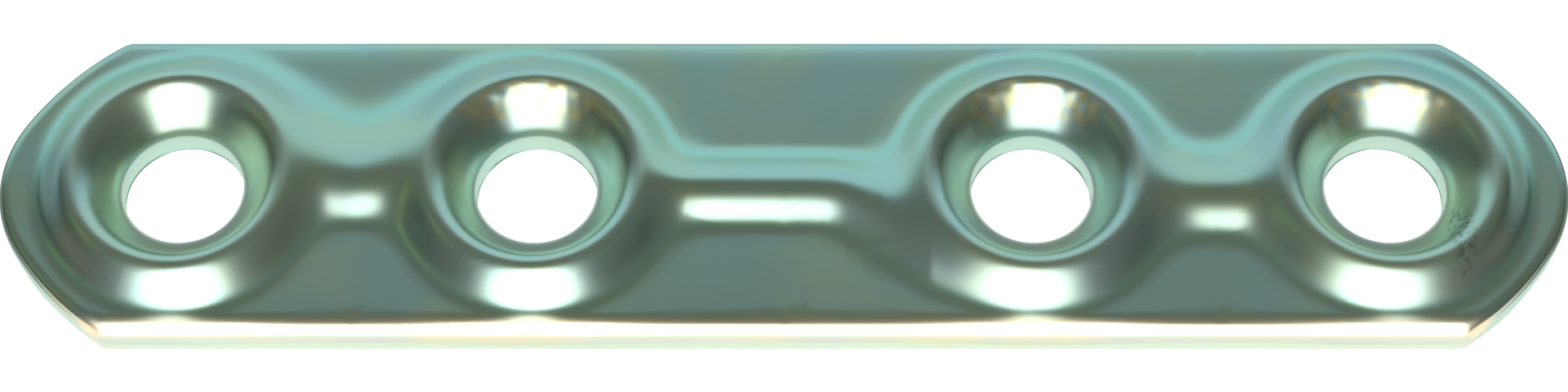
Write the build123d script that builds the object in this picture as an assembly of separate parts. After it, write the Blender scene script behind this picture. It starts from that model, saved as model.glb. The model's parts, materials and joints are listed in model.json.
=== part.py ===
from build123d import *
import os
from math import cos, radians, sin, sqrt, tan

# Mending plate: a straight pressed-steel plate with four countersunk screw holes.
# It is one piece of sheet. Each hole stands in a raised ring that holds the whole countersink, and a rib
# along the middle joins the four rings. The punch that raises them leaves a groove in the underside
# below each ring and each rib.
# Sizes are in millimetres and degrees. The origin is the centre of the underside, +X runs along the
# plate and +Z points out of the face with the rings.

# Blank
plate_length = 75.0
plate_width = 16.0
sheet_thickness = 2.0
nose_radius = 6.4  # arc round the tip of each end
nose_half_angle = 32.0  # where the tip's arc hands over to the flatter flanks
flank_radius = 14.8  # arcs from the tip's arc to the long sides
corner_radius = 1.0  # where a flank meets a long side
top_edge_radius = 0.6
bottom_edge_break = 0.2

# Screw holes
hole_diameter = 5.8
hole_end_distance = 8.75  # from each end to the centre of the nearest hole
hole_pitch = 16.9  # between the two holes of one half
hole_land = 1.5  # straight wall below the countersink
countersink_angle = 82.0

# Raised rings
ring_height = 1.9  # from the face to the sharp crest, which crest_radius then rounds
ring_slope = 45.0  # steepness of the outer side
crest_radius = 0.6

# Raised ribs
rib_height = 0.95
rib_width = 3.8  # where the sides leave the face
rib_slope = 45.0  # steepness of the sides, which one arc joins over the top

# Hollow rounding where rings and ribs rise from the face and where they meet
blend_radius = 1.0

# Grooves in the underside
groove_setback = 0.4  # how much shallower and narrower a groove is than the form above it
ring_groove_roof = 0.6  # width of the flat roof that the punch's blunt nose leaves

# Places and sizes that follow
face_z = sheet_thickness
foot_z = sheet_thickness / 2  # rings and ribs start inside the sheet, at half its thickness
crest_z = face_z + ring_height
hole_radius = hole_diameter / 2
countersink_spread = tan(radians(countersink_angle / 2))  # growth of its radius for each mm of height
ring_spread = 1 / tan(radians(ring_slope))
rib_spread = 1 / tan(radians(rib_slope))
crest_circle_radius = hole_radius + (crest_z - hole_land) * countersink_spread
outer_hole_x = plate_length / 2 - hole_end_distance
inner_hole_x = outer_hole_x - hole_pitch
hole_places = [-outer_hole_x, -inner_hole_x, inner_hole_x, outer_hole_x]
gaps = list(zip(hole_places, hole_places[1:]))


def blank_outline():
    """The plate seen from above: two straight sides and two blunt-pointed round ends."""
    half_angle = radians(nose_half_angle)
    side_y = plate_width / 2
    tip = Vector(plate_length / 2, 0)
    shoulder = tip + Vector(cos(half_angle) - 1, sin(half_angle)) * nose_radius
    flank_centre = shoulder - Vector(cos(half_angle), sin(half_angle)) * flank_radius
    corner_x = flank_centre.X + sqrt(flank_radius**2 - (side_y - flank_centre.Y) ** 2)
    with BuildSketch() as outline:
        with BuildLine():
            nose = TangentArc(tip, shoulder, tangent=(0, 1))
            TangentArc(shoulder, (corner_x, side_y), tangent=nose % 1)
            Line((corner_x, side_y), (0, side_y))
            mirror(about=Plane.YZ)
            mirror(about=Plane.XZ)
        make_face()
        corners = outline.vertices().group_by(lambda v: round(abs(v.Y), 3))[-1]
        fillet(corners.filter_by(lambda v: abs(v.X) > corner_x / 2), corner_radius)
    return outline.sketch


def rounded_blank(outline):
    """The flat plate with its upper edge rolled and its lower edge broken."""
    blank = extrude(outline, face_z)
    blank = fillet(blank.edges().group_by(Axis.Z)[-1], top_edge_radius)
    return chamfer(blank.edges().group_by(Axis.Z)[0], bottom_edge_break)


def ring_cone():
    """One raised ring before its hole is cut, as a cone up to the countersink's mouth."""
    height = crest_z - foot_z
    foot_radius = crest_circle_radius + height * ring_spread
    return Pos(0, 0, (foot_z + crest_z) / 2) * Cone(foot_radius, crest_circle_radius, height)


def rib(start_x, end_x):
    """The raised rib from one hole's centre to the next, with its crest rounded to its full height."""
    foot_half = rib_width / 2 + (face_z - foot_z) * rib_spread
    peak = rib_width / 2 / rib_spread  # where the sides would meet, above the face
    crest_arc = (peak - rib_height) / (1 / cos(radians(rib_slope)) - 1)
    corners = [(-foot_half, foot_z), (foot_half, foot_z), (0, face_z + peak)]
    section = make_face(Plane.YZ * Polyline(*corners, close=True))
    section = fillet(section.vertices().group_by(Axis.Z)[-1], crest_arc)
    return Pos(start_x, 0, 0) * extrude(section, end_x - start_x, dir=(1, 0, 0))


def countersunk_hole():
    """The cutter for one hole: a straight wall, then the countersink up past the crest."""
    mouth_z = crest_z + ring_height
    depth = mouth_z - hole_land
    mouth_radius = hole_radius + depth * countersink_spread
    wall = Pos(0, 0, hole_land / 2) * Cylinder(hole_radius, hole_land)
    return wall + Pos(0, 0, (hole_land + mouth_z) / 2) * Cone(hole_radius, mouth_radius, depth)


def ring_groove():
    """The cutter for the groove under one ring, with its sides parallel to the ring's."""
    peak = ring_height - groove_setback
    inner = crest_circle_radius - peak * countersink_spread
    outer = crest_circle_radius + peak * ring_spread
    roof_z = peak - ring_groove_roof / (countersink_spread + ring_spread)
    roof_inner = inner + roof_z * countersink_spread
    corners = [(inner, 0), (outer, 0), (roof_inner + ring_groove_roof, roof_z), (roof_inner, roof_z)]
    return revolve(make_face(Plane.XZ * Polyline(*corners, close=True)), Axis.Z)


def rib_groove(start_x, end_x):
    """The cutter for the groove under one rib, from ring groove to ring groove."""
    depth = rib_height - groove_setback
    base_half = rib_width / 2 - groove_setback
    roof_half = base_half - depth * rib_spread
    corners = [(-base_half, 0), (base_half, 0), (roof_half, depth), (-roof_half, depth)]
    section = make_face(Plane.YZ * Polyline(*corners, close=True))
    length = end_x - start_x - 2 * crest_circle_radius
    return Pos(start_x + crest_circle_radius, 0, 0) * extrude(section, length, dir=(1, 0, 0))


def raised_plate():
    """The blank with its rings and ribs pressed up, and every hollow between them rounded."""
    outline = blank_outline()
    blank = rounded_blank(outline)
    within_outline = extrude(outline, crest_z)
    rings = [Pos(x, 0, 0) * ring_cone() & within_outline for x in hole_places]
    ribs = [rib(start_x, end_x) for start_x, end_x in gaps]
    plate = blank + rings + ribs
    hollows = new_edges(blank, *rings, *ribs, combined=plate)
    return fillet(hollows, blend_radius)


def pierced(plate):
    """The plate with its countersunk holes, and the crest round each countersink rounded."""
    for x in hole_places:
        plate -= Pos(x, 0, 0) * countersunk_hole()
    crests = plate.edges().group_by(Axis.Z)[-1]
    return fillet(crests, crest_radius)


def grooved(plate):
    """The plate with the punch's grooves in its underside."""
    for x in hole_places:
        plate -= Pos(x, 0, 0) * ring_groove()
    for start_x, end_x in gaps:
        plate -= rib_groove(start_x, end_x)
    return plate


mending_plate = grooved(pierced(raised_plate()))
os.makedirs("parts", exist_ok=True)
export_step(mending_plate, "parts/plate.step")
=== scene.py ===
import json
from math import asin, cos, pi, radians, sin, tan

import bmesh
import bpy
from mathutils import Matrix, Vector


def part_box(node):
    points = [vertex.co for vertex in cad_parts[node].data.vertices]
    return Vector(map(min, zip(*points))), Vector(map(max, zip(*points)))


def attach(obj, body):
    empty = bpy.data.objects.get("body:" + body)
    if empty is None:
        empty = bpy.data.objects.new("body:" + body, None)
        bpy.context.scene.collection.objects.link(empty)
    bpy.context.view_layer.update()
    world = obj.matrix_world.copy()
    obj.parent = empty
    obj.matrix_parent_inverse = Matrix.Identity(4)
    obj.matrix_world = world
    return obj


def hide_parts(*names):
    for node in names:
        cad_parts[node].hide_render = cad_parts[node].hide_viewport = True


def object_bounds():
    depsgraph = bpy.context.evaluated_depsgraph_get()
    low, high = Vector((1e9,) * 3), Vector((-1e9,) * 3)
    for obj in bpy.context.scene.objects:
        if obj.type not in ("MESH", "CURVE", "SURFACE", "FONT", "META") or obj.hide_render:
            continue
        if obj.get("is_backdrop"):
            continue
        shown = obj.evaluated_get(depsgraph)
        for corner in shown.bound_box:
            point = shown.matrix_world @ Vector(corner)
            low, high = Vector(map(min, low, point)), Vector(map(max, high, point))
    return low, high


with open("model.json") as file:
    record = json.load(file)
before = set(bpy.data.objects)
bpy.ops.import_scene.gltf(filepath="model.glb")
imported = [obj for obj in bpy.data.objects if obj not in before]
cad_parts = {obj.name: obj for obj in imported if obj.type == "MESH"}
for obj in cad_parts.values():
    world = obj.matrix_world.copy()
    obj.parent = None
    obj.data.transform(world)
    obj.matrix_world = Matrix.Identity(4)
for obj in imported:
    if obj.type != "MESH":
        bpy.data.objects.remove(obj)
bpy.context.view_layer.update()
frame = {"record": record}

bl_info = {
    "name": "Mending plate",
    "version": (1, 0, 0),
    "blender": (4, 5, 0),
    "location": "3D View > Sidebar > Plate",
    "description": "Makes a pressed, zinc-plated mending plate and the stage that it lies on",
    "category": "Add Mesh",
}

# Everything is in metres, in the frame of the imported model: origin at the middle of the underside,
# +X along the plate and +Z out of the face with the raised rings.
MM = 0.001
plate_low, plate_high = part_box("plate")
bores = [mount for mount in frame["record"]["mounts"] if mount["kind"] == "bore"]
hole_places = sorted(bore["pos_m"][0] for bore in bores)
hole_size = bores[0]["dims"]


def length(name, description, default):
    """A length that the sidebar shows, in metres."""
    return bpy.props.FloatProperty(
        name=name, description=description, default=default, unit="LENGTH", precision=5
    )


def angle(name, description, degrees):
    """An angle that the sidebar shows, in degrees."""
    return bpy.props.FloatProperty(
        name=name, description=description, default=radians(degrees), unit="ROTATION"
    )


def share(name, description, default):
    """A plain number without a unit."""
    return bpy.props.FloatProperty(name=name, description=description, default=default)


def colour(name, description, default, most=1):
    """A linear colour that the sidebar shows."""
    return bpy.props.FloatVectorProperty(
        name=name, description=description, default=default, subtype="COLOR", size=3, min=0, max=most
    )


def glow(name, description, default):
    """A linear colour of light, which may be brighter than one."""
    return colour(name, description, default, most=10)


class PlateSizes(bpy.types.PropertyGroup):
    """Sizes of the blank and of the forms pressed into it."""

    plate_length: length("Length", "From tip to tip", plate_high.x - plate_low.x)
    plate_width: length("Width", "Across the long sides", plate_high.y - plate_low.y)
    thickness: length("Thickness", "Of the sheet", 2.0 * MM)
    nose_radius: length("Nose radius", "Arc round each tip", 6.4 * MM)
    nose_half_angle: angle("Nose half angle", "Where the tip's arc ends", 32)
    flank_radius: length("Flank radius", "Arcs from tip to long side", 14.8 * MM)
    corner_radius: length("Corner radius", "Where a flank meets a long side", 1.0 * MM)
    edge_roll: length("Edge roll", "Rounding of the upper edge", 0.6 * MM)
    edge_break: length("Edge break", "Of the lower edge", 0.2 * MM)
    hole_radius: length("Hole radius", "Of the straight wall", hole_size["r_mm"] * MM)
    hole_land: length("Land", "Height of the straight wall", hole_size["length_mm"] * MM)
    countersink_angle: angle("Countersink", "Full angle of the cone", 82)
    ring_height: length("Ring height", "From the face to the sharp crest", 1.9 * MM)
    ring_slope: angle("Ring slope", "Steepness of a ring's outer side", 45)
    crest_blend: length("Crest rounding", "Reach of the rounding over a ring's crest", 2.4 * MM)
    rim_reach: length("Rim reach", "Of the rounding from a hole's wall up its countersink", 0.35 * MM)
    rim_drop: length("Rim drop", "Of that rounding at the wall", 0.15 * MM)
    rib_height: length("Rib height", "Above the face", 0.95 * MM)
    rib_width: length("Rib width", "Of the underside's rib grooves, with their setback", 3.8 * MM)
    junction_blend: length("Junction rounding", "Where a rib runs into a ring", 2.0 * MM)
    hollow_blend: length("Hollow rounding", "Where rings and ribs rise from the face", 0.7 * MM)
    sag_reach: length("Sag reach", "Of the near edge's sag, across the plate", 1.0 * MM)
    sag_run: length("Sag run", "Along the plate, over which it weakens to each side of a hole", 7.0 * MM)
    sag_drop: length("Sag drop", "Of that sag at the edge, beside a ring", 0.6 * MM)
    sag_between: share("Sag between", "Share of that sag left halfway between two rings", 0.65)
    far_droop: length("Far droop", "Slight fall of the face to its far edge", 0.07 * MM)
    droop_reach: length("Droop reach", "Of that fall across the plate", 1.5 * MM)
    breakout: length("Breakout", "How far the torn part of a cut wall steps back", 0.05 * MM)
    tear: length("Tear", "Unevenness of the torn part", 0.02 * MM)
    waviness: length("Waviness", "Slow rise and fall of the pressed face", 0.012 * MM)
    chatter: length("Chatter", "Ripples in all countersinks but the left hole's", 0.03 * MM)
    scuff: length("Scuff", "Depth of the nicks beside the right hole", 0.007 * MM)
    groove_setback: length("Groove setback", "Groove against the form above it", 0.4 * MM)
    groove_roof: length("Groove roof", "Width of a ring groove's flat roof", 0.6 * MM)


class RibShape(bpy.types.PropertyGroup):
    """One rib between two holes. Its sides need not be alike, nor straight."""

    far_reach: length("Far reach", "Of the side beyond the middle line, halfway along", 1.9 * MM)
    near_reach: length("Near reach", "Of the side before the middle line, halfway along", 1.9 * MM)
    far_flare: share("Far flare", "Growth of the far reach towards the rings", 0.0)
    near_flare: share("Near flare", "Growth of the near reach towards the rings", 0.0)
    far_slope: share("Far slope", "Rise of the far side for each unit across", 1.0)
    bend: length("Bend", "Rounding of the flares where they meet halfway", 1.0 * MM)
    turn_from: length("Turn from", "Where the near side turns away towards the right ring", 20.0 * MM)


class PlateFinish(bpy.types.PropertyGroup):
    """Colours and polish of the zinc plating."""

    tint: colour("Plating", "Blue-green passivated zinc", (0.58, 0.815, 0.725))
    slate: colour("Slate patches", "Where the passivation is bluer", (0.55, 0.76, 0.73))
    olive: colour("Olive patches", "Where the passivation is yellower", (0.62, 0.80, 0.64))
    # Painted highlight fringe: the greener tint in the hollows paints the mint fringe at the lower edge
    # of the highlights.
    hollow: colour("Hollows", "Greener in the hollows, a painted mint fringe below the highlights", (0.54, 0.85, 0.74))
    worn: colour("Worn crests", "Where rubbing has left the zinc paler", (0.74, 0.86, 0.76))
    # Painted highlight: this yellow tint, laid on the far side of the rippled countersinks, paints the
    # yellow wings beside their highlight.
    straw: colour("Straw", "Yellow tinge of the rippled countersinks", (0.86, 0.80, 0.40))
    # Painted highlight: a warm pale tint along the near lip only, where it catches the window.
    edge: colour("Near edge", "Warm and pale along the near lip, a painted highlight where it catches the window", (1.0, 0.92, 0.68))
    grime: colour("Grime", "Of the scuffed place beside the right hole", (0.36, 0.46, 0.41))
    cut: colour("Cut walls", "Thinly plated steel of the sheared walls", (0.70, 0.94, 0.80))
    polish: share("Roughness", "Of the pressed faces", 0.26)
    cut_roughness: share("Cut roughness", "Of the sheared walls", 0.55)
    grain_depth: share("Grain depth", "Of the fine orange peel, in millimetres", 0.0006)
    scratch_depth: share("Scratch depth", "Of the finest scratches, in millimetres", 0.0003)
    tear_depth: share("Tear depth", "Of the cut walls' fine upright lines, in millimetres", 0.012)


class StageSetup(bpy.types.PropertyGroup):
    """Camera, lamp, floor and surroundings."""

    elevation: angle("Elevation", "Of the camera above the floor", 61.6)
    distance: length("Distance", "From the camera to the plate", 0.17)
    lens: share("Lens", "Focal length in millimetres", 81.9)
    aim_nearer: length("Aim", "How much nearer than the plate's middle the camera looks", 0.61 * MM)
    lamp_elevation: angle("Lamp elevation", "Of its middle above the floor", 40)
    lamp_azimuth: angle("Lamp azimuth", "Of its middle, to the left of the camera", 10)
    lamp_distance: length("Lamp distance", "From the plate", 0.6)
    lamp_width: length("Lamp width", "Along each side", 0.5)
    lamp_power: share("Lamp power", "In watts", 4.0)
    floor_colour: colour("Floor", "Of the pale floor", (0.8, 0.8, 0.8))
    floor_glow: share("Floor glow", "Of the floor towards the camera", 0.85)
    side_floor: glow("Floor beside", "What the metal sees of it to both sides", (0.2, 0.22, 0.21))
    far_floor: glow("Floor beyond", "What the metal sees of it beyond the plate", (0.40, 0.54, 0.56))
    near_floor: glow("Floor close by", "What the metal sees of it at a wall's foot", (0.95, 0.95, 0.95))
    front_floor: glow("Floor in front", "What the metal sees of it in front", (1.4, 1.08, 0.96))
    skirting_light: colour("Skirting", "Of the dark room just above the floor", (0.03, 0.033, 0.028))
    room_light: colour("Room", "Of the dim room all round", (0.135, 0.138, 0.118))
    ceiling_light: colour("Ceiling", "Of the dim ceiling overhead", (0.15, 0.15, 0.115))
    wall_light: colour("Far wall", "Of the light wall beyond the plate", (0.48, 0.66, 0.70))
    window_light: glow("Window", "Light of the bright window in front of the plate", (2.2, 2.2, 2.2))
    window_top: glow("Window top", "Warm light at its upper edge", (2.0, 1.45, 0.75))
    side_light: glow("Side light", "Weak greenish light to the left of the window", (0.22, 0.26, 0.13))
    window_elevation: angle("Window elevation", "Of its middle above the floor", 23)
    window_azimuth: angle("Window azimuth", "Of its middle, to the right of the camera", -3)
    window_half_width: angle("Window half width", "From its middle to a side", 33)
    window_half_height: angle("Window half height", "From its middle to its top", 43)


# Blank


def quarter_arcs(sizes):
    """Arcs of one quarter of the outline, from the tip to the long side: centre, radius, two angles."""
    half = sizes.nose_half_angle
    side_y = sizes.plate_width / 2
    nose = Vector((sizes.plate_length / 2 - sizes.nose_radius, 0))
    turn = Vector((cos(half), sin(half)))
    flank = nose + turn * (sizes.nose_radius - sizes.flank_radius)
    reach = sizes.flank_radius - sizes.corner_radius
    corner_y = side_y - sizes.corner_radius
    meet = asin((corner_y - flank.y) / reach)
    corner = Vector((flank.x + reach * cos(meet), corner_y))
    return [
        (nose, sizes.nose_radius, 0, half),
        (flank, sizes.flank_radius, half, meet),
        (corner, sizes.corner_radius, meet, pi / 2),
    ]


def arc_nodes(centre, radius, start, end, spacing):
    """Points and outward directions along an arc, without its last point."""
    count = max(3, round(radius * (end - start) / spacing))
    angles = [start + (end - start) * step / count for step in range(count)]
    directions = [Vector((cos(a), sin(a))) for a in angles]
    return [(centre + way * radius, way) for way in directions]


def side_nodes(start_x, end_x, side_y, spacing):
    """Points along a long side from one x to another, both ends included."""
    count = max(2, round(abs(end_x - start_x) / spacing))
    way = Vector((0, 1 if side_y > 0 else -1))
    places = [start_x + (end_x - start_x) * step / count for step in range(count + 1)]
    return [(Vector((x, side_y)), way) for x in places]


def nose_nodes(sizes, seam_x, spacing):
    """The outline of the right-hand end, from the lower seam round the tip to the upper seam."""
    upper = []
    arcs = quarter_arcs(sizes)
    for centre, radius, start, end in arcs:
        upper += arc_nodes(centre, radius, start, end, spacing)
    upper += side_nodes(arcs[-1][0].x, seam_x, sizes.plate_width / 2, spacing)
    lower = [(Vector((p.x, -p.y)), Vector((way.x, -way.y))) for p, way in reversed(upper[1:])]
    return lower + upper


def seam_nodes(sizes, seam_x, upwards):
    """Points across the plate where two cells meet, closer together where the rib runs."""
    edge_y = sizes.plate_width / 2 - sizes.edge_roll
    fine_y = 3.2 * MM
    fine_step, coarse_step = 0.16 * MM, 0.42 * MM
    fine_count = round(fine_y / fine_step)
    coarse_count = round((edge_y - fine_y) / coarse_step)
    upper = [fine_y * step / fine_count for step in range(1, fine_count + 1)]
    upper += [fine_y + (edge_y - fine_y) * step / coarse_count for step in range(1, coarse_count)]
    places = [-y for y in reversed(upper)] + [0] + upper
    if not upwards:
        places.reverse()
    return [(Vector((seam_x, y)), None) for y in places]


def cell_nodes(sizes, index):
    """What bounds one hole's cell, anticlockwise: each point with its outward way, or None on a seam."""
    spacing = 0.4 * MM
    side_y = sizes.plate_width / 2
    seams = [(a + b) / 2 for a, b in zip(hole_places, hole_places[1:])]
    if index == 0:
        right_end = nose_nodes(sizes, -seams[0], spacing)
        left_end = [(Vector((-p.x, -p.y)), -way) for p, way in right_end]
        return left_end + seam_nodes(sizes, seams[0], True)
    if index == len(hole_places) - 1:
        return nose_nodes(sizes, seams[-1], spacing) + seam_nodes(sizes, seams[-1], False)
    left, right = seams[index - 1], seams[index]
    lower = side_nodes(left, right, -side_y, spacing)
    upper = side_nodes(right, left, side_y, spacing)
    return lower + seam_nodes(sizes, right, True) + upper + seam_nodes(sizes, left, False)


class BlankMesh:
    """Gathers the rows of points of the blank, and the faces between them."""

    def __init__(self):
        self.points = []
        self.faces = []
        self.parts = {"top": [], "under": [], "wall": []}
        self.torn = []

    def row(self, points, torn=None, **shares):
        """Adds a row and gives its point numbers. The shares say how fully it belongs to each part."""
        first = len(self.points)
        self.points += points
        for name, values in self.parts.items():
            values += [shares.get(name, 0.0)] * len(points)
        self.torn += torn or [Vector((0, 0, 0))] * len(points)
        return list(range(first, len(self.points)))

    def strip(self, inner, outer, closed=True):
        """Faces between two rows. They face up where the second row lies outside the first."""
        last = len(inner) if closed else len(inner) - 1
        for start in range(last):
            end = (start + 1) % len(inner)
            self.faces.append((inner[start], outer[start], outer[end], inner[end]))

    def strips(self, rows, closed=True):
        """Faces between each row and the next."""
        for inner, outer in zip(rows, rows[1:]):
            self.strip(inner, outer, closed)


def steps(*stops):
    """Distances from stop to stop: each stop after the first is (end, number of steps)."""
    places = [stops[0]]
    for end, count in stops[1:]:
        start = places[-1]
        places += [start + (end - start) * step / count for step in range(1, count + 1)]
    return places


def skin_rows(hole_x, nodes, inset, radii, outer_count):
    """Rings of points round a hole, then rows that spread out to the cell's edge, all at z = 0."""
    axis = Vector((hole_x, 0))
    ends = [p if way is None else p - way * inset for p, way in nodes]
    ways = [(end - axis).normalized() for end in ends]
    rows = [[axis + way * radius for way in ways] for radius in radii]
    last = rows[-1]
    for step in range(1, outer_count + 1):
        part = step / outer_count
        rows.append([start.lerp(end, part) for start, end in zip(last, ends)])
    return [[Vector((p.x, p.y, 0)) for p in row] for row in rows]


def add_cell(blank, sizes, index):
    """One hole's share of the blank: upper skin, rolled edge, wall, broken edge, underside and bore."""
    hole_x = hole_places[index]
    nodes = cell_nodes(sizes, index)
    hole = sizes.hole_radius
    crest = crest_circle(sizes)
    ring_foot = crest + sizes.ring_height / tan(sizes.ring_slope)
    ring_edge = sizes.plate_width / 2 - sizes.edge_roll - 0.06 * MM
    top_radii = steps(
        hole,
        (hole + 0.2 * MM, 3),
        (crest - 0.7 * MM, 7),
        (crest + 0.7 * MM, 18),
        (ring_foot - 0.5 * MM, 5),
        (ring_edge, 9),
    )
    top_plan = skin_rows(hole_x, nodes, sizes.edge_roll, top_radii, 9)
    top_rows = [blank.row(row, top=1.0) for row in top_plan]
    blank.strips(top_rows)

    groove_inner, groove_outer = groove_reach(sizes)
    under_radii = steps(hole, (groove_inner - 0.2 * MM, 3), (groove_outer + 0.2 * MM, 24), (ring_edge, 2))
    under_plan = skin_rows(hole_x, nodes, sizes.edge_break, under_radii, 5)
    under_rows = [blank.row(row, under=1.0) for row in under_plan]
    blank.strips(under_rows[::-1])

    inner_plan = under_plan[0]
    outwards = [(p - Vector((hole_x, 0, 0))).normalized() for p in inner_plan]
    bore_rows = []
    for share_up in (0.04, 0.2, 0.36, 0.5, 0.58, 0.75):
        level = Vector((0, 0, share_up * sizes.hole_land))
        torn = [way * torn_share(share_up) for way in outwards]
        bore_rows.append(blank.row([p + level for p in inner_plan], wall=1.0, torn=torn))
    blank.strips([under_rows[0], *bore_rows, top_rows[0]])

    add_edge(blank, sizes, nodes, top_rows[-1], under_rows[-1])


def add_edge(blank, sizes, nodes, top_row, under_row):
    """The rolled upper edge, the wall and the broken lower edge, where the cell meets the outline."""
    roll_steps = 8
    for run in outline_runs(nodes):
        plan = [nodes[number] for number in run]
        rows = [[top_row[number] for number in run]]
        for step in range(1, roll_steps + 1):
            turn = pi / 2 * step / roll_steps
            inset = sizes.edge_roll * (1 - sin(turn))
            drop = sizes.edge_roll * (1 - cos(turn))
            rows.append(blank.row(wall_row(plan, inset, -drop), top=1.0))
        inwards = [-Vector((*way, 0)) for _, way in plan]
        for share_up in (0.8, 0.62, 0.54, 0.4, 0.25, 0.1, 0.0):
            height = sizes.edge_break * (1 - share_up) - sizes.edge_roll * share_up
            torn = [way * torn_share(share_up) for way in inwards]
            rows.append(blank.row(wall_row(plan, 0.0, height), top=share_up, wall=1.0, torn=torn))
        rows.append([under_row[number] for number in run])
        blank.strips(rows, closed=False)


def torn_share(share_up):
    """How fully a cut wall is torn at a share of its height: smooth above, torn below."""
    smooth_from, fade = 0.6, 0.08
    return min(1.0, max(0.0, (smooth_from - share_up) / fade))


def wall_row(plan, inset, height):
    """Points along the outline, moved in by the inset and set at a height."""
    places = [point - way * inset for point, way in plan]
    return [Vector((p.x, p.y, height)) for p in places]


def outline_runs(nodes):
    """The stretches of a cell's nodes that lie on the outline, as lists of node numbers."""
    runs = []
    for number, (_, way) in enumerate(nodes):
        if way is None:
            continue
        if runs and runs[-1][-1] == number - 1:
            runs[-1].append(number)
        else:
            runs.append([number])
    return runs


def crest_circle(sizes):
    """Radius of a ring's sharp crest."""
    depth = sizes.thickness + sizes.ring_height - sizes.hole_land
    return sizes.hole_radius + depth * tan(sizes.countersink_angle / 2)


def groove_reach(sizes):
    """Inner and outer radius of a ring groove at the underside."""
    peak = sizes.ring_height - sizes.groove_setback
    inner = crest_circle(sizes) - peak * tan(sizes.countersink_angle / 2)
    return inner, crest_circle(sizes) + peak / tan(sizes.ring_slope)


def flat_blank(sizes):
    """The pierced blank with both skins at z = 0, ready for the press form to lift them."""
    blank = BlankMesh()
    for index in range(len(hole_places)):
        add_cell(blank, sizes, index)
    mesh = bpy.data.meshes.new("mending_plate")
    mesh.from_pydata(blank.points, [], blank.faces)
    for name, values in blank.parts.items():
        mesh.attributes.new(name, "FLOAT", "POINT").data.foreach_set("value", values)
    torn = [part for way in blank.torn for part in way]
    mesh.attributes.new("torn", "FLOAT_VECTOR", "POINT").data.foreach_set("vector", torn)
    return mesh


# Node trees


class Sheet:
    """Places nodes in a tree and feeds their sockets from other sockets or from plain values."""

    def __init__(self, tree):
        self.tree = tree

    def node(self, kind, inputs=None, **settings):
        """A new node with these settings, and with these values fed to its named or numbered inputs."""
        made = self.tree.nodes.new(kind)
        for name, value in settings.items():
            setattr(made, name, value)
        for name, value in (inputs or {}).items():
            self.feed(made.inputs[name], value)
        return made

    def first(self, kind, *values, **settings):
        """The first output of a new node whose first inputs are fed with these values."""
        return self.node(kind, dict(enumerate(values)), **settings).outputs[0]

    def feed(self, socket, value):
        if isinstance(value, bpy.types.NodeSocket):
            self.tree.links.new(value, socket)
        else:
            socket.default_value = value

    def math(self, operation, *values):
        return self.first("ShaderNodeMath", *values, operation=operation)

    def add(self, a, b):
        return self.math("ADD", a, b)

    def take(self, a, b):
        return self.math("SUBTRACT", a, b)

    def times(self, a, b):
        return self.math("MULTIPLY", a, b)

    def diagonal(self, a, b):
        return self.math("SQRT", self.add(self.times(a, a), self.times(b, b)))


def soft_step(sheet, value, start, end, least=0.0):
    """The least value before the start and one past the end, eased in between."""
    limits = (start, end, least, 1.0)
    return sheet.first("ShaderNodeMapRange", value, *limits, interpolation_type="SMOOTHSTEP")


def noise(sheet, vector, scale, detail):
    """Smooth noise between zero and one."""
    values = {"Vector": vector, "Scale": scale, "Detail": detail}
    return sheet.node("ShaderNodeTexNoise", values).outputs[0]


def layered(sheet, base, *layers):
    """A colour with others laid over it in turn, each given as its mask and the colour itself."""
    for mask, above in layers:
        values = {0: mask, 6: opaque(base), 7: opaque(above)}
        base = sheet.node("ShaderNodeMix", values, data_type="RGBA").outputs[2]
    return base


def opaque(shade):
    """What a node takes for a colour: another node's output as it is, or red, green, blue and one."""
    return shade if isinstance(shade, bpy.types.NodeSocket) else (*shade, 1)


RIBS = ("Left", "Middle", "Right")


def empty_tree(name, kind, inputs, outputs):
    """A node tree whose inputs and outputs are given as pairs of a name and a type."""
    tree = bpy.data.node_groups.new(name, kind)
    for way, sockets in (("INPUT", inputs), ("OUTPUT", outputs)):
        for label, contents in sockets:
            tree.interface.new_socket(label, in_out=way, socket_type=f"NodeSocket{contents}")
    return tree


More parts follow.
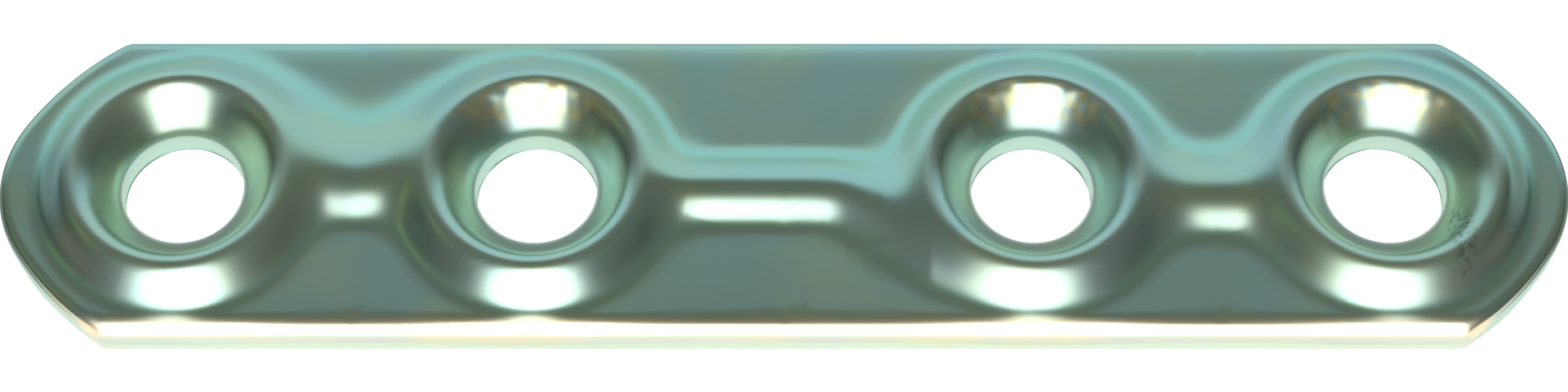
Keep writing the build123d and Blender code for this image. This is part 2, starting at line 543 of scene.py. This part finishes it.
def press_form_tree(names):
    """Geometry Nodes with these inputs that press rings, ribs and grooves into the flat blank."""
    shape = [("Geometry", "Geometry")]
    inputs = shape + [(name, "Float") for name in names] + [("Material", "Material")]
    tree = empty_tree("Press form", "GeometryNodeTree", inputs, shape)
    sheet = Sheet(tree)
    given = sheet.node("NodeGroupInput").outputs
    position = sheet.first("GeometryNodeInputPosition")
    along, across, flat_z = sheet.node("ShaderNodeSeparateXYZ", {0: position}).outputs
    radius = sheet.diagonal(beside_hole(sheet, along, given), across)

    lift, masks = upper_height(sheet, along, across, radius, given)
    rippled = rippled_part(sheet, along, across, radius, given)
    masks["rippled"] = sheet.times(masks.pop("countersunk"), rippled)
    masks["scuffed"] = scuffed_patch(sheet, along, across, given)
    wave = wavering(sheet, position, 90.0, given["Waviness"])
    ripples = sheet.times(wavering(sheet, position, 1400.0, given["Chatter"]), masks["rippled"])
    nicks = sheet.times(wavering(sheet, position, 2600.0, given["Scuff"]), masks["scuffed"])
    lift = sheet.add(sheet.add(lift, nicks), sheet.add(wave, ripples))
    hollow = under_height(sheet, along, across, radius, given)
    upper, under = kept(sheet, "top"), kept(sheet, "under")
    lifted = sheet.add(sheet.times(upper, lift), sheet.times(under, hollow))

    moves = {
        "Geometry": given["Geometry"],
        "Position": sheet.first("ShaderNodeCombineXYZ", along, across, sheet.add(flat_z, lifted)),
        "Offset": torn_step(sheet, position, given),
    }
    plate = sheet.node("GeometryNodeSetPosition", moves).outputs[0]
    for name, mask in masks.items():
        keeping = {"Geometry": plate, "Name": name, "Value": sheet.times(mask, upper)}
        plate = sheet.node("GeometryNodeStoreNamedAttribute", keeping).outputs[0]
    plate = sheet.first("GeometryNodeSetShadeSmooth", plate)
    plate = sheet.first("GeometryNodeRealizeInstances", plate)
    plating = {"Geometry": plate, "Material": given["Material"]}
    plate = sheet.node("GeometryNodeSetMaterial", plating).outputs[0]
    sheet.node("NodeGroupOutput", {0: plate})
    return tree


def wavering(sheet, position, per_metre, most):
    """A smooth random height, as often up as down, with this many swells to the metre."""
    swell = sheet.take(noise(sheet, position, per_metre, 1.0), 0.5)
    return sheet.times(swell, sheet.times(most, 4.0))


def rippled_part(sheet, along, across, radius, given):
    """Where countersinks are rippled: on the far side, above the rim, in all but the left hole."""
    right_of_first = sheet.math("GREATER_THAN", along, given["Left Place"])
    above_rim = soft_step(sheet, sheet.take(radius, given["Hole Radius"]), 0.4 * MM, 1.0 * MM)
    # The far side faces the window. The yellow tint laid over this part paints the wings of its
    # highlight.
    far_part = soft_step(sheet, sheet.math("DIVIDE", across, radius), 0.5, 0.8)
    return sheet.times(right_of_first, sheet.times(above_rim, far_part))


def scuffed_patch(sheet, along, across, given):
    """The scuffed place on the right ring: a narrow oval over its crest, to the right of the hole."""
    middle_x, middle_y = 3.1 * MM, -3.4 * MM  # from the hole's axis
    half_width, half_length = 0.65 * MM, 2.4 * MM
    from_hole = sheet.take(along, given["Outer Hole"])
    aside = sheet.math("DIVIDE", sheet.take(from_hole, middle_x), half_width)
    nearer = sheet.math("DIVIDE", sheet.take(across, middle_y), half_length)
    off_middle = sheet.add(sheet.times(aside, aside), sheet.times(nearer, nearer))
    return soft_step(sheet, off_middle, 1.0, 0.4)


def torn_step(sheet, position, given):
    """How the torn part of a cut wall steps back, unevenly."""
    step = sheet.add(given["Breakout"], wavering(sheet, position, 900.0, given["Tear"]))
    values = {0: kept(sheet, "torn", "FLOAT_VECTOR"), "Scale": step}
    return sheet.node("ShaderNodeVectorMath", values, operation="SCALE").outputs[0]


def kept(sheet, name, kind="FLOAT"):
    """What the mesh's points keep under this name."""
    return sheet.first("GeometryNodeInputNamedAttribute", name, data_type=kind)


def beside_hole(sheet, along, given):
    """Distance from the axis of the nearest hole, along the plate only."""
    from_middle = sheet.math("ABSOLUTE", along)
    offsets = [sheet.take(from_middle, given[name]) for name in ("Inner Hole", "Outer Hole")]
    return sheet.math("MINIMUM", *[sheet.math("ABSOLUTE", offset) for offset in offsets])


def upper_height(sheet, along, across, radius, given):
    """Height of the upper skin, and masks of its countersinks, hollows, worn crests and near edge."""
    ring_fall = sheet.times(sheet.take(radius, given["Crest Circle"]), given["Ring Rise"])
    ring = sheet.take(given["Crest Height"], ring_fall)
    rib = sheet.add(given["Thickness"], ribs_rise(sheet, along, across, given))
    raised = sheet.math("SMOOTH_MAX", rib, ring, given["Junction Blend"])
    filled = sheet.math("SMOOTH_MAX", given["Thickness"], raised, given["Hollow Blend"])
    filling = sheet.take(filled, sheet.math("MAXIMUM", given["Thickness"], raised))
    from_far_edge = sheet.take(given["Half Width"], across)
    droop = fading(sheet, from_far_edge, given["Droop Reach"], given["Far Droop"], 2.0)
    raised = sheet.take(sheet.take(filled, edge_sag(sheet, along, across, given)), droop)
    from_wall = sheet.take(radius, given["Hole Radius"])
    cone = sheet.add(given["Hole Land"], sheet.times(from_wall, given["Countersink Rise"]))
    cone = sheet.take(cone, fading(sheet, from_wall, given["Rim Reach"], given["Rim Drop"], 2.0))
    crested = sheet.math("SMOOTH_MIN", raised, cone, given["Crest Blend"])
    rubbed_off = sheet.take(sheet.math("MINIMUM", raised, cone), crested)
    from_edge = sheet.add(given["Half Width"], across)
    # A band along the near lip, which faces the window. The warm pale edge tint over it paints that lip's
    # highlight.
    lit_lip_band = soft_step(sheet, from_edge, 1.1 * MM, 0.45 * MM)
    masks = {
        "countersunk": soft_step(sheet, sheet.take(raised, cone), 0.0, 0.4 * MM),
        # This hollows mask also carries the greener tint that paints the mint fringe below the
        # highlights.
        "hollow": soft_step(sheet, filling, 0.0, 0.08 * MM),
        "worn": soft_step(sheet, rubbed_off, 0.12 * MM, 0.28 * MM),
        "edge": sheet.times(lit_lip_band, soft_step(sheet, from_edge, 0.08 * MM, 0.3 * MM)),
    }
    return crested, masks


def fading(sheet, distance, reach, most, power):
    """A depth that falls from its most at no distance to nothing at the reach, straight or in a curve."""
    left = sheet.take(1.0, sheet.math("DIVIDE", distance, reach))
    left = sheet.math("MINIMUM", sheet.math("MAXIMUM", left, 0.0), 1.0)
    return sheet.times(sheet.math("POWER", left, power), most)


def edge_sag(sheet, along, across, given):
    """How far the near edge sags where pressing drew the metal in, most of all beside each ring."""
    from_edge = sheet.add(given["Half Width"], across)
    sag = fading(sheet, from_edge, given["Sag Reach"], given["Sag Drop"], 1.5)
    share_left = fading(sheet, beside_hole(sheet, along, given), given["Sag Run"], 1.0, 1.0)
    return sheet.times(sag, soft_step(sheet, share_left, 0.0, 1.0, given["Sag Between"]))


def ribs_rise(sheet, along, across, given):
    """Height above the face of whichever rib runs here."""
    left, right = [
        sheet.math("GREATER_THAN", outwards, given["Inner Hole"])
        for outwards in (sheet.times(along, -1.0), along)
    ]
    here = (left, sheet.take(sheet.take(1.0, left), right), right)
    heights = [rib_rise(sheet, along, across, given, rib) for rib in RIBS]
    rises = [sheet.times(height, part) for height, part in zip(heights, here)]
    end_slope = 2.0
    past_end = sheet.take(sheet.math("ABSOLUTE", along), given["Outer Hole"])
    end_fall = sheet.times(sheet.math("MAXIMUM", past_end, 0.0), end_slope)
    return sheet.take(sheet.add(sheet.add(*rises[:2]), rises[2]), end_fall)


def rib_rise(sheet, along, across, given, rib):
    """Height of one rib above the face: two sloping sides joined by one rounding."""
    turn_rounding, turn_slope = 0.5 * MM, 0.45
    softness = 6.0  # reach of the rounding for each unit of height that it takes off
    offset = sheet.take(along, given[f"{rib} Place"])
    bend = given[f"{rib} Bend"]
    spread = sheet.take(sheet.diagonal(offset, bend), bend)
    reaches = []
    for side in ("Far", "Near"):
        flare = sheet.times(spread, given[f"{rib} {side} Flare"])
        reach = sheet.add(given[f"{rib} {side} Reach"], flare)
        reaches.append(sheet.math("MINIMUM", reach, given["Reach Limit"]))
    far, near = reaches
    past = sheet.take(offset, given[f"{rib} Turn From"])
    past = sheet.add(past, sheet.math("SQRT", sheet.add(sheet.times(past, past), turn_rounding**2)))
    turned = sheet.add(near, sheet.times(past, turn_slope))
    near = sheet.math("MINIMUM", turned, given["Reach Limit"])
    slope = given[f"{rib} Far Slope"]
    sharp = sheet.math("DIVIDE", sheet.times(sheet.add(far, near), slope), sheet.add(slope, 1.0))
    too_high = sheet.math("MAXIMUM", sheet.take(sharp, given["Rib Height"]), 0.0)
    far_side = sheet.times(sheet.take(far, across), slope)
    return sheet.math("SMOOTH_MIN", far_side, sheet.add(near, across), sheet.times(too_high, softness))


def under_height(sheet, along, across, radius, given):
    """Height of the underside: zero, with the punch's grooves below the rings and ribs."""
    corner = 0.12 * MM
    end_slope = 4.0
    inwards = sheet.take(given["Crest Circle"], radius)
    inner = sheet.take(given["Groove Depth"], sheet.times(inwards, given["Countersink Rise"]))
    outer = sheet.add(given["Groove Depth"], sheet.times(inwards, given["Ring Rise"]))
    roof = sheet.take(given["Groove Depth"], given["Groove Roof"])
    ring = sheet.math("SMOOTH_MIN", sheet.math("MINIMUM", inner, outer), roof, corner)

    from_side = sheet.take(given["Rib Groove Half Width"], sheet.math("ABSOLUTE", across))
    outside_rings = sheet.take(radius, given["Crest Circle"])
    between = sheet.take(given["Outer Hole"], sheet.math("ABSOLUTE", along))
    limit = sheet.times(sheet.math("MINIMUM", outside_rings, between), end_slope)
    rib = sheet.math("SMOOTH_MIN", from_side, given["Rib Groove Depth"], corner)
    rib = sheet.math("MINIMUM", rib, limit)
    grooves = sheet.math("SMOOTH_MAX", ring, rib, corner)
    return sheet.math("SMOOTH_MAX", grooves, 0.0, corner)


def labelled(group, names):
    """A group's settings under the names of the press form's inputs: rim_reach is Rim Reach."""
    return {name.replace("_", " ").title(): getattr(group, name) for name in names}


def rib_settings(scene):
    """What each rib's inputs are given: the rib's place and its own settings."""
    settings = {}
    ribs = (scene.left_rib, scene.middle_rib, scene.right_rib)
    for name, rib, start, end in zip(RIBS, ribs, hole_places, hole_places[1:]):
        settings[f"{name} Place"] = (start + end) / 2
        own = labelled(rib, RibShape.__annotations__)
        settings |= {f"{name} {label}": value for label, value in own.items()}
    return settings


PLAIN_SIZES = """
    thickness hole_radius hole_land rim_reach rim_drop crest_blend junction_blend hollow_blend rib_height
    sag_reach sag_run sag_drop sag_between far_droop droop_reach breakout tear waviness chatter scuff
""".split()


def press_settings(sizes):
    """What each of the press form's other inputs is given."""
    countersink_rise = 1 / tan(sizes.countersink_angle / 2)
    ring_rise = tan(sizes.ring_slope)
    worked_out = {
        "Half Width": sizes.plate_width / 2,
        "Crest Height": sizes.thickness + sizes.ring_height,
        "Crest Circle": crest_circle(sizes),
        "Reach Limit": sizes.plate_width / 2 - sizes.ring_height,
        "Inner Hole": hole_places[-2],
        "Outer Hole": hole_places[-1],
        "Groove Depth": sizes.ring_height - sizes.groove_setback,
        "Groove Roof": sizes.groove_roof / (1 / countersink_rise + 1 / ring_rise),
        "Rib Groove Depth": sizes.rib_height - sizes.groove_setback,
        "Rib Groove Half Width": sizes.rib_width / 2 - sizes.groove_setback,
        "Countersink Rise": countersink_rise,
        "Ring Rise": ring_rise,
    }
    return labelled(sizes, PLAIN_SIZES) | worked_out


def new_object(name, data):
    """An object in the scene that holds this data."""
    made = bpy.data.objects.new(name, data)
    bpy.context.scene.collection.objects.link(made)
    return made


def pressed_mesh(blank, settings, material):
    """The blank's mesh after the press form, as a plain mesh."""
    worked = new_object("press_work", blank)
    press = worked.modifiers.new("Press form", "NODES")
    press.node_group = press_form_tree(settings)
    sockets = press.node_group.interface.items_tree
    identifiers = {item.name: item.identifier for item in sockets if item.in_out == "INPUT"}
    for name, value in settings.items():
        press[identifiers[name]] = value
    press[identifiers["Material"]] = material
    evaluated = worked.evaluated_get(bpy.context.evaluated_depsgraph_get())
    mesh = bpy.data.meshes.new_from_object(evaluated)
    worked.modifiers.remove(press)
    bpy.data.objects.remove(worked)
    return mesh


def weld(mesh):
    """Joins the points that neighbouring cells share."""
    work = bmesh.new()
    work.from_mesh(mesh)
    bmesh.ops.remove_doubles(work, verts=work.verts, dist=0.001 * MM)
    work.to_mesh(mesh)
    work.free()


# Finish


def effect(name, inputs, output):
    """A shader node group with these inputs and one output: its sheet and the sockets of both."""
    values = [("Vector", "Vector")] + [(label, "Float") for label in inputs]
    sheet = Sheet(empty_tree(name, "ShaderNodeTree", values, [(output, "Float")]))
    return sheet, sheet.node("NodeGroupInput").outputs, sheet.node("NodeGroupOutput").inputs[0]


def stretched(sheet, vector, scale, turn=0.0):
    """The place scaled along each axis, then turned about the upright axis."""
    values = {"Vector": vector, "Rotation": (0, 0, turn), "Scale": scale}
    return sheet.node("ShaderNodeMapping", values).outputs[0]


def patches_effect():
    """A mask that is one inside soft-edged patches. Its shift makes a second use look different."""
    sheet, given, end = effect("soft_patches", ("Scale", "Shift", "Cover"), "Mask")
    shift = sheet.first("ShaderNodeCombineXYZ", *[given["Shift"]] * 3)
    place = sheet.first("ShaderNodeVectorMath", given["Vector"], shift, operation="ADD")
    cloud = noise(sheet, place, given["Scale"], 2.5)
    softness = 0.12
    edge = sheet.take(0.7, sheet.times(given["Cover"], 0.4))
    sheet.feed(end, soft_step(sheet, cloud, sheet.take(edge, softness), sheet.add(edge, softness)))
    return sheet.tree


def grain_effect():
    """The fine orange peel of plated metal, as a height around zero."""
    sheet, given, end = effect("plated_grain", ("Scale",), "Height")
    finer, fine_share = 4.3, 0.35
    middle = (1 + fine_share) / 2
    place, scale = given["Vector"], given["Scale"]
    coarse = noise(sheet, place, scale, 1.0)
    fine = noise(sheet, place, sheet.times(scale, finer), 2.0)
    sheet.feed(end, sheet.take(sheet.add(coarse, sheet.times(fine, fine_share)), middle))
    return sheet.tree


def scratches_effect():
    """Fine scratches along the plate, in three sets that come in clusters."""
    sheet, given, end = effect("fine_scratches", ("Scale",), "Mask")
    place, scale = given["Vector"], given["Scale"]
    lines = 0.0
    for turn in (0.8, 1.5, 2.3):
        run = stretched(sheet, place, (0.015, 1.0, 0.5), turn)
        line = soft_step(sheet, noise(sheet, run, scale, 0.0), 0.76, 0.86)
        lines = sheet.math("MAXIMUM", line, lines)
    clusters = noise(sheet, place, sheet.times(scale, 0.05), 1.0)
    sheet.feed(end, sheet.times(lines, soft_step(sheet, clusters, 0.42, 0.6)))
    return sheet.tree


def tearing_effect():
    """Fine upright lines of a sheared wall, as a height around zero."""
    sheet, given, end = effect("sheared_lines", ("Scale",), "Height")
    run = stretched(sheet, given["Vector"], (1.0, 1.0, 0.12))
    lines = noise(sheet, run, given["Scale"], 3.0)
    sheet.feed(end, sheet.take(lines, 0.5))
    return sheet.tree


def placed(sheet, tree, vector, **values):
    """What a shared effect puts out at a place, with its other inputs given by name."""
    return sheet.node("ShaderNodeGroup", {"Vector": vector} | values, node_tree=tree).outputs[0]


def new_material(name):
    """A material of this name, with a sheet for its nodes and the inputs of its shader."""
    material = bpy.data.materials.new(name)
    material.use_nodes = True
    shader = material.node_tree.nodes["Principled BSDF"]
    return material, Sheet(material.node_tree), shader.inputs


MASKS = ("wall", "rippled", "scuffed", "hollow", "worn", "edge")


def plating_material(finish):
    """Bright zinc with a blue-green passivation that varies a little, and duller sheared walls. Tints in
    the hollows, on the far side of the rippled countersinks and along the near lip paint highlight
    fringes and wings.
    """
    material, sheet, shader = new_material("zinc_plating")
    place = sheet.node("ShaderNodeTexCoord").outputs["Object"]
    masks = {
        name: sheet.node("ShaderNodeAttribute", attribute_name=name).outputs["Fac"] for name in MASKS
    }
    patches = patches_effect()

    slate = placed(sheet, patches, place, Scale=110.0, Shift=0.0, Cover=0.5)
    olive = placed(sheet, patches, place, Scale=190.0, Shift=0.31, Cover=0.45)
    specks = placed(sheet, patches, place, Scale=1700.0, Shift=0.57, Cover=0.55)
    dirt = placed(sheet, patches, place, Scale=3300.0, Shift=0.13, Cover=0.4)
    rubbed = placed(sheet, patches, place, Scale=700.0, Shift=0.83, Cover=0.8)
    layers = (
        (slate, finish.slate),
        (olive, finish.olive),
        # Painted highlight fringe: mint along the hollows, below the highlights.
        (masks["hollow"], finish.hollow),
        # Painted highlight: yellow wings beside the far highlight of the rippled countersinks.
        (sheet.times(masks["rippled"], sheet.times(specks, 0.7)), finish.straw),
        (sheet.times(masks["worn"], sheet.times(rubbed, 0.5)), finish.worn),
        (sheet.times(masks["scuffed"], dirt), finish.grime),
        # Painted highlight: warm and pale along the near lip.
        (masks["edge"], finish.edge),
        (sheet.times(masks["wall"], 0.8), finish.cut),
    )
    sheet.feed(shader["Base Color"], layered(sheet, finish.tint, *layers))

    lines = placed(sheet, scratches_effect(), place, Scale=3000.0)
    roughness = finish.polish
    for mask, rougher in ((slate, 0.04), (lines, 0.03), (masks["worn"], 0.05)):
        roughness = sheet.add(roughness, sheet.times(mask, rougher))
    values = {0: masks["wall"], 2: roughness, 3: finish.cut_roughness}
    sheet.feed(shader["Roughness"], sheet.node("ShaderNodeMix", values).outputs[0])

    height = sheet.times(placed(sheet, grain_effect(), place, Scale=2100.0), finish.grain_depth)
    height = sheet.take(height, sheet.times(lines, finish.scratch_depth))
    torn = sheet.times(placed(sheet, tearing_effect(), place, Scale=6500.0), finish.tear_depth)
    height = sheet.add(height, sheet.times(torn, masks["wall"]))
    bump = sheet.node("ShaderNodeBump", {"Distance": MM, "Height": height})
    sheet.feed(shader["Normal"], bump.outputs[0])
    sheet.feed(shader["Metallic"], 1.0)
    return material


class PLATE_OT_press(bpy.types.Operator):
    """Presses the plate from its blank and gives it its plating"""

    bl_idname = "mending_plate.press"
    bl_label = "Press plate"

    def execute(self, context):
        sizes = context.scene.plate_sizes
        material = plating_material(context.scene.plate_finish)
        settings = press_settings(sizes) | rib_settings(context.scene)
        mesh = pressed_mesh(flat_blank(sizes), settings, material)
        weld(mesh)
        mesh.name = "mending_plate"
        mesh.set_sharp_from_angle(angle=radians(32))
        plate = new_object("mending_plate", mesh)
        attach(plate, "root")
        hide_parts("plate")
        return {"FINISHED"}


# Stage


def floor_material(setup):
    """A pale floor that the camera sees as white. The metal sees it darker to the sides and beyond."""
    material, sheet, shader = new_material("pale_floor")
    sheet.feed(shader["Roughness"], 1.0)
    sheet.feed(shader["Specular IOR Level"], 0.0)
    rays = sheet.node("ShaderNodeLightPath").outputs
    mirrored = rays["Is Glossy Ray"]
    black = (0, 0, 0)
    sheet.feed(shader["Base Color"], layered(sheet, setup.floor_colour, (mirrored, black)))
    place = sheet.node("ShaderNodeTexCoord").outputs["Object"]
    across = sheet.node("ShaderNodeSeparateXYZ", {0: place}).outputs[1]
    layers = (
        (soft_step(sheet, across, 7 * MM, 11 * MM), setup.far_floor),
        (soft_step(sheet, rays["Ray Length"], 4.2 * MM, 1.5 * MM), setup.near_floor),
        (soft_step(sheet, across, -6 * MM, -10 * MM), setup.front_floor),
    )
    white = (setup.floor_glow,) * 3
    shown = layered(sheet, white, (mirrored, layered(sheet, setup.side_floor, *layers)))
    sheet.feed(shader["Emission Color"], shown)
    directly = sheet.math("MAXIMUM", rays["Is Camera Ray"], rays["Is Transmission Ray"])
    sheet.feed(shader["Emission Strength"], sheet.math("MAXIMUM", directly, mirrored))
    return material


def make_floor(setup):
    """The floor, a hair below the underside."""
    reach = 3.0
    level = -0.02 * MM
    corners = [(x * reach, y * reach, level) for x, y in ((-1, -1), (1, -1), (1, 1), (-1, 1))]
    mesh = bpy.data.meshes.new("floor")
    mesh.from_pydata(corners, [], [(0, 1, 2, 3)])
    mesh.materials.append(floor_material(setup))
    floor = new_object("floor", mesh)
    floor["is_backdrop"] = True


def make_camera(setup):
    """The camera, looking down on the plate from the side of -Y."""
    low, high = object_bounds()
    target = (low + high) / 2 - Vector((0, setup.aim_nearer, 0))
    back = Vector((0, -cos(setup.elevation), sin(setup.elevation)))
    camera = new_object("camera", bpy.data.cameras.new("camera"))
    camera.data.lens = setup.lens
    camera.location = target + back * setup.distance
    camera.rotation_euler = (-back).to_track_quat("-Z", "Y").to_euler()
    camera.data.clip_start = 0.01
    bpy.context.scene.camera = camera


def make_lamp(setup):
    """A large soft lamp that gives the floor its light and the plate its shadow."""
    level, turn = setup.lamp_elevation, setup.lamp_azimuth
    back = Vector((-sin(turn) * cos(level), -cos(turn) * cos(level), sin(level)))
    light = bpy.data.lights.new("soft_lamp", "AREA")
    light.size = setup.lamp_width
    light.energy = setup.lamp_power
    lamp = new_object("soft_lamp", light)
    lamp.location = back * setup.lamp_distance
    lamp.rotation_euler = back.to_track_quat("Z", "Y").to_euler()
    lamp.visible_camera = False
    lamp.visible_glossy = False


def oval(sheet, elevation, azimuth, upright, level):
    """A soft-edged oval in the sky. Each way is given by its middle and its half width."""
    ways = ((elevation, upright), (azimuth, level))
    parts = [sheet.math("DIVIDE", sheet.take(way, middle), half) for way, (middle, half) in ways]
    return soft_step(sheet, sheet.diagonal(*parts), 1.1, 0.8)


def make_world(setup):
    """A dim room with a light wall beyond the plate and a bright window in front, both soft ovals."""
    world = bpy.data.worlds.new("studio")
    world.use_nodes = True
    sheet = Sheet(world.node_tree)
    way = sheet.node("ShaderNodeTexCoord").outputs["Generated"]
    to_right, beyond, up = sheet.node("ShaderNodeSeparateXYZ", {0: way}).outputs
    elevation = sheet.math("ARCSINE", up)
    from_far = sheet.math("ARCTAN2", to_right, beyond)
    from_front = sheet.math("ARCTAN2", to_right, sheet.times(beyond, -1.0))

    wall_upright, wall_level = map(radians, (5, 55)), map(radians, (0, 60))
    side_upright, side_level = map(radians, (34, 8)), map(radians, (-86, 14))
    window_upright = (setup.window_elevation, setup.window_half_height)
    window_level = (setup.window_azimuth, setup.window_half_width)
    below_top = soft_step(sheet, elevation, radians(68), radians(54))
    window_light = layered(sheet, setup.window_top, (below_top, setup.window_light))
    layers = (
        (soft_step(sheet, elevation, radians(2), radians(30)), setup.room_light),
        (soft_step(sheet, elevation, radians(45), radians(80)), setup.ceiling_light),
        (oval(sheet, elevation, from_far, wall_upright, wall_level), setup.wall_light),
        (oval(sheet, elevation, from_front, side_upright, side_level), setup.side_light),
        (oval(sheet, elevation, from_front, window_upright, window_level), window_light),
    )
    background = world.node_tree.nodes["Background"].inputs["Color"]
    sheet.feed(background, layered(sheet, setup.skirting_light, *layers))
    bpy.context.scene.world = world


class PLATE_OT_stage(bpy.types.Operator):
    """Makes the floor, the lamp, the surroundings and the camera"""

    bl_idname = "mending_plate.stage"
    bl_label = "Set stage"

    def execute(self, context):
        setup = context.scene.stage_setup
        make_floor(setup)
        make_world(setup)
        make_lamp(setup)
        make_camera(setup)
        context.scene.view_settings.view_transform = "Standard"
        return {"FINISHED"}


class PLATE_PT_sidebar(bpy.types.Panel):
    """Sizes, finish and stage of the mending plate"""

    bl_label = "Mending plate"
    bl_idname = "PLATE_PT_sidebar"
    bl_space_type = "VIEW_3D"
    bl_region_type = "UI"
    bl_category = "Plate"

    def draw(self, context):
        scene = context.scene
        for name, group_class in settings_groups.items():
            box = self.layout.box()
            box.label(text=name.replace("_", " ").capitalize())
            for setting in group_class.__annotations__:
                box.prop(getattr(scene, name), setting)
        self.layout.operator(PLATE_OT_press.bl_idname)
        self.layout.operator(PLATE_OT_stage.bl_idname)


settings_groups = {
    "plate_sizes": PlateSizes,
    "left_rib": RibShape,
    "middle_rib": RibShape,
    "right_rib": RibShape,
    "plate_finish": PlateFinish,
    "stage_setup": StageSetup,
}
groups = (PlateSizes, RibShape, PlateFinish, StageSetup)
classes = (*groups, PLATE_OT_press, PLATE_OT_stage, PLATE_PT_sidebar)


def register():
    """Makes Blender know the classes and keeps the settings on the scene."""
    for each in classes:
        bpy.utils.register_class(each)
    for name, group in settings_groups.items():
        setattr(bpy.types.Scene, name, bpy.props.PointerProperty(type=group))


def unregister():
    """Takes back what register made."""
    for name in settings_groups:
        delattr(bpy.types.Scene, name)
    for each in reversed(classes):
        bpy.utils.unregister_class(each)


def shape_ribs(scene):
    """Sets the ribs as this plate has them, each a little off the middle line in its own way."""
    left, middle, right = scene.left_rib, scene.middle_rib, scene.right_rib
    left.far_reach, left.near_reach, left.far_slope = 3.5 * MM, 2.15 * MM, 0.42
    left.far_flare, left.bend = 0.5, 0.6 * MM
    middle.far_reach, middle.near_reach, middle.turn_from = 1.5 * MM, 2.25 * MM, 2.6 * MM
    right.far_reach, right.near_reach, right.far_slope = 1.75 * MM, 2.8 * MM, 0.65
    right.far_flare, right.near_flare, right.bend = 0.3, 0.2, 2.0 * MM


def main():
    """Builds the plate and its stage."""
    register()
    shape_ribs(bpy.context.scene)
    bpy.ops.mending_plate.press()
    bpy.ops.mending_plate.stage()


if __name__ == "__main__":
    main()
